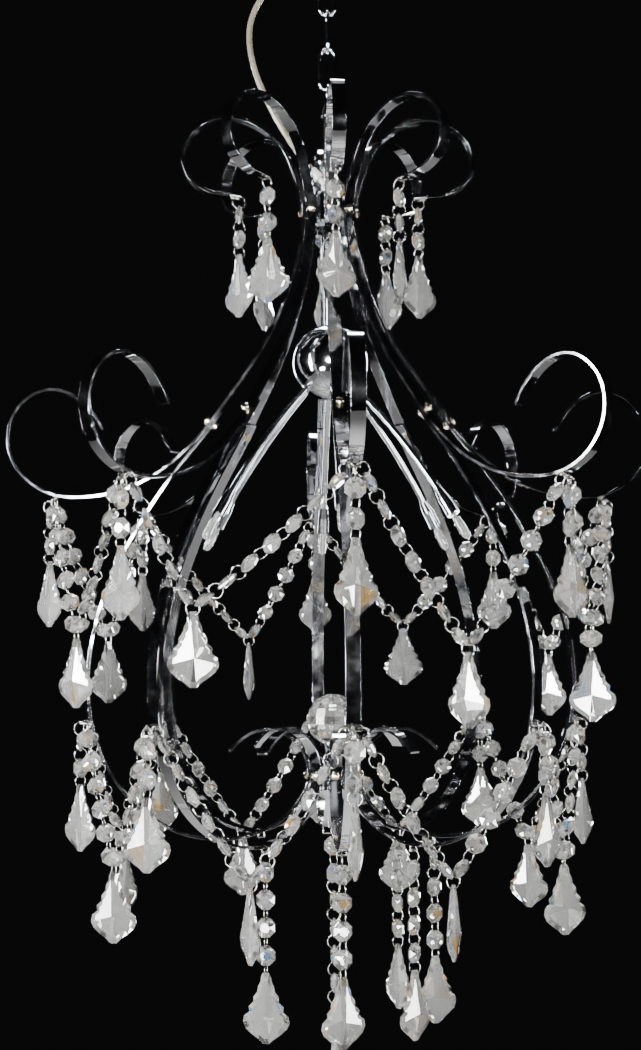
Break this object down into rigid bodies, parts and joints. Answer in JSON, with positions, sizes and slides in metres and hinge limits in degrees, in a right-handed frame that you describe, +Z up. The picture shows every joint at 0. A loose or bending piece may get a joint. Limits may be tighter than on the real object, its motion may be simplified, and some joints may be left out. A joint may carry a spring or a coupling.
{
  "type": "crystal chandelier",
  "caption": "Chrome flat-bar chandelier with scrolled arms, a bowed rib cage, capsule lamps and swags of octagon crystals, on a chain.",
  "frame": {"origin": "on the ceiling plane, at the middle of the ceiling bracket's screw pattern, on the chandelier's vertical axis", "axes": "+Z up towards the ceiling; -Y towards the front, where one of the arms points; +X to the right"},
  "size_m": [0.504, 0.504, 0.9151],
  "materials": {
    "chrome": "bright chrome plate, mirror polish",
    "brass_screw": "passivated pale gold, polished dome",
    "steel_nut": "zinc plated",
    "transformer_case": "fine moulded texture",
    "terminal_plastic": "moulded",
    "lamp_glass": "clear quartz capsule",
    "crystal": "cut and polished lead crystal",
    "silver_wire": "plated round wire",
    "clear_flex": "clear sheath over tinned and bare copper cores",
    "clear_gland": "translucent moulded"
  },
  "bodies": {
    "ceiling": {"ceiling_bracket": "steel_nut", "canopy_nuts": "steel_nut", "canopy_stud": "steel_nut", "ceiling_canopy": "chrome", "lamp_transformer": "transformer_case", "ceiling_loop": "chrome", "canopy_cable_gland": "clear_gland", "supply_flex": "clear_flex"},
    "chandelier": {"chain_link_upper": "chrome", "chain_link_middle": "chrome", "chain_link_lower": "chrome", "stem_loop": "chrome", "stem_tube": "chrome", "stem_cable_gland": "clear_gland", "neck_collar": "chrome", "scroll_arms": "chrome", "cage_ribs": "chrome", "strip_screws": "brass_screw", "ball_upper_shell": "chrome", "ball_lower_shell": "chrome", "terminal_block": "terminal_plastic", "lamp_tubes": "chrome", "lamp_holders": "chrome", "capsule_lamps": "lamp_glass", "bottom_hub": "chrome", "crystal_ball": "crystal", "crystal_ball_stem": "chrome", "crystal_hooks": "silver_wire", "mid_swags": "crystal", "lower_swags": "crystal"},
    "top_string_1": {"top_string_1": "crystal"},
    "top_string_2": {"top_string_2": "crystal"},
    "top_string_3": {"top_string_3": "crystal"},
    "top_string_4": {"top_string_4": "crystal"},
    "top_string_5": {"top_string_5": "crystal"},
    "top_string_6": {"top_string_6": "crystal"},
    "top_string_7": {"top_string_7": "crystal"},
    "top_string_8": {"top_string_8": "crystal"},
    "mid_string_1": {"mid_string_1": "crystal"},
    "mid_string_2": {"mid_string_2": "crystal"},
    "mid_string_3": {"mid_string_3": "crystal"},
    "mid_string_4": {"mid_string_4": "crystal"},
    "mid_string_5": {"mid_string_5": "crystal"},
    "mid_string_6": {"mid_string_6": "crystal"},
    "mid_string_7": {"mid_string_7": "crystal"},
    "mid_string_8": {"mid_string_8": "crystal"},
    "lower_string_1": {"lower_string_1": "crystal"},
    "lower_string_2": {"lower_string_2": "crystal"},
    "lower_string_3": {"lower_string_3": "crystal"},
    "lower_string_4": {"lower_string_4": "crystal"},
    "lower_string_5": {"lower_string_5": "crystal"},
    "lower_string_6": {"lower_string_6": "crystal"},
    "lower_string_7": {"lower_string_7": "crystal"},
    "lower_string_8": {"lower_string_8": "crystal"},
    "bottom_string_1": {"bottom_string_1": "crystal"},
    "bottom_string_2": {"bottom_string_2": "crystal"},
    "bottom_string_3": {"bottom_string_3": "crystal"},
    "bottom_string_4": {"bottom_string_4": "crystal"},
    "bottom_string_5": {"bottom_string_5": "crystal"},
    "long_string": {"long_string": "crystal"}
  },
  "joints": [
    {"name": "chain_swing", "type": "hinge", "parent": "ceiling", "child": "chandelier", "pos_m": [0, 0, -0.0448], "axis": [0, 1, 0], "range_deg": [-12, 12], "deforming": ["supply_flex"]},
    {"name": "top_string_1_swing", "type": "hinge", "parent": "chandelier", "child": "top_string_1", "pos_m": [0, -0.0715, -0.2271], "axis": [-1, 0, 0], "range_deg": [-10, 25]},
    {"name": "top_string_2_swing", "type": "hinge", "parent": "chandelier", "child": "top_string_2", "pos_m": [0.05056, -0.05056, -0.2271], "axis": [-0.7071, -0.7071, 0], "range_deg": [-10, 25]},
    {"name": "top_string_3_swing", "type": "hinge", "parent": "chandelier", "child": "top_string_3", "pos_m": [0.0715, 0, -0.2271], "axis": [0, -1, 0], "range_deg": [-10, 25]},
    {"name": "top_string_4_swing", "type": "hinge", "parent": "chandelier", "child": "top_string_4", "pos_m": [0.05056, 0.05056, -0.2271], "axis": [0.7071, -0.7071, 0], "range_deg": [-10, 25]},
    {"name": "top_string_5_swing", "type": "hinge", "parent": "chandelier", "child": "top_string_5", "pos_m": [0, 0.0715, -0.2271], "axis": [1, 0, 0], "range_deg": [-10, 25]},
    {"name": "top_string_6_swing", "type": "hinge", "parent": "chandelier", "child": "top_string_6", "pos_m": [-0.05056, 0.05056, -0.2271], "axis": [0.7071, 0.7071, 0], "range_deg": [-10, 25]},
    {"name": "top_string_7_swing", "type": "hinge", "parent": "chandelier", "child": "top_string_7", "pos_m": [-0.0715, 0, -0.2271], "axis": [0, 1, 0], "range_deg": [-10, 25]},
    {"name": "top_string_8_swing", "type": "hinge", "parent": "chandelier", "child": "top_string_8", "pos_m": [-0.05056, -0.05056, -0.2271], "axis": [-0.7071, 0.7071, 0], "range_deg": [-10, 25]},
    {"name": "mid_string_1_swing", "type": "hinge", "parent": "chandelier", "child": "mid_string_1", "pos_m": [0, -0.2184, -0.4704], "axis": [-1, 0, 0], "range_deg": [-10, 25]},
    {"name": "mid_string_2_swing", "type": "hinge", "parent": "chandelier", "child": "mid_string_2", "pos_m": [0.15443, -0.15443, -0.4704], "axis": [-0.7071, -0.7071, 0], "range_deg": [-10, 25]},
    {"name": "mid_string_3_swing", "type": "hinge", "parent": "chandelier", "child": "mid_string_3", "pos_m": [0.2184, 0, -0.4704], "axis": [0, -1, 0], "range_deg": [-10, 25]},
    {"name": "mid_string_4_swing", "type": "hinge", "parent": "chandelier", "child": "mid_string_4", "pos_m": [0.15443, 0.15443, -0.4704], "axis": [0.7071, -0.7071, 0], "range_deg": [-10, 25]},
    {"name": "mid_string_5_swing", "type": "hinge", "parent": "chandelier", "child": "mid_string_5", "pos_m": [0, 0.2184, -0.4704], "axis": [1, 0, 0], "range_deg": [-10, 25]},
    {"name": "mid_string_6_swing", "type": "hinge", "parent": "chandelier", "child": "mid_string_6", "pos_m": [-0.15443, 0.15443, -0.4704], "axis": [0.7071, 0.7071, 0], "range_deg": [-10, 25]},
    {"name": "mid_string_7_swing", "type": "hinge", "parent": "chandelier", "child": "mid_string_7", "pos_m": [-0.2184, 0, -0.4704], "axis": [0, 1, 0], "range_deg": [-10, 25]},
    {"name": "mid_string_8_swing", "type": "hinge", "parent": "chandelier", "child": "mid_string_8", "pos_m": [-0.15443, -0.15443, -0.4704], "axis": [-0.7071, 0.7071, 0], "range_deg": [-10, 25]},
    {"name": "lower_string_1_swing", "type": "hinge", "parent": "chandelier", "child": "lower_string_1", "pos_m": [0, -0.194, -0.641], "axis": [-1, 0, 0], "range_deg": [-8, 25]},
    {"name": "lower_string_2_swing", "type": "hinge", "parent": "chandelier", "child": "lower_string_2", "pos_m": [0.13718, -0.13718, -0.641], "axis": [-0.7071, -0.7071, 0], "range_deg": [-8, 25]},
    {"name": "lower_string_3_swing", "type": "hinge", "parent": "chandelier", "child": "lower_string_3", "pos_m": [0.194, 0, -0.641], "axis": [0, -1, 0], "range_deg": [-8, 25]},
    {"name": "lower_string_4_swing", "type": "hinge", "parent": "chandelier", "child": "lower_string_4", "pos_m": [0.13718, 0.13718, -0.641], "axis": [0.7071, -0.7071, 0], "range_deg": [-8, 25]},
    {"name": "lower_string_5_swing", "type": "hinge", "parent": "chandelier", "child": "lower_string_5", "pos_m": [0, 0.194, -0.641], "axis": [1, 0, 0], "range_deg": [-8, 25]},
    {"name": "lower_string_6_swing", "type": "hinge", "parent": "chandelier", "child": "lower_string_6", "pos_m": [-0.13718, 0.13718, -0.641], "axis": [0.7071, 0.7071, 0], "range_deg": [-8, 25]},
    {"name": "lower_string_7_swing", "type": "hinge", "parent": "chandelier", "child": "lower_string_7", "pos_m": [-0.194, 0, -0.641], "axis": [0, 1, 0], "range_deg": [-8, 25]},
    {"name": "lower_string_8_swing", "type": "hinge", "parent": "chandelier", "child": "lower_string_8", "pos_m": [-0.13718, -0.13718, -0.641], "axis": [-0.7071, 0.7071, 0], "range_deg": [-8, 25]},
    {"name": "bottom_string_1_swing", "type": "hinge", "parent": "chandelier", "child": "bottom_string_1", "pos_m": [0, -0.077, -0.7346], "axis": [-1, 0, 0], "range_deg": [-4, 25]},
    {"name": "bottom_string_2_swing", "type": "hinge", "parent": "chandelier", "child": "bottom_string_2", "pos_m": [0.05445, -0.05445, -0.7346], "axis": [-0.7071, -0.7071, 0], "range_deg": [-4, 25]},
    {"name": "bottom_string_3_swing", "type": "hinge", "parent": "chandelier", "child": "bottom_string_3", "pos_m": [0.077, 0, -0.7346], "axis": [0, -1, 0], "range_deg": [-4, 25]},
    {"name": "bottom_string_4_swing", "type": "hinge", "parent": "chandelier", "child": "bottom_string_4", "pos_m": [0.05445, 0.05445, -0.7346], "axis": [0.7071, -0.7071, 0], "range_deg": [-4, 25]},
    {"name": "bottom_string_5_swing", "type": "hinge", "parent": "chandelier", "child": "bottom_string_5", "pos_m": [-0.05445, -0.05445, -0.7346], "axis": [-0.7071, 0.7071, 0], "range_deg": [-4, 25]},
    {"name": "long_string_swing", "type": "hinge", "parent": "chandelier", "child": "long_string", "pos_m": [-0.003, -0.035, -0.7185], "axis": [-1, 0, 0], "range_deg": [-10, 6]}
  ]
}
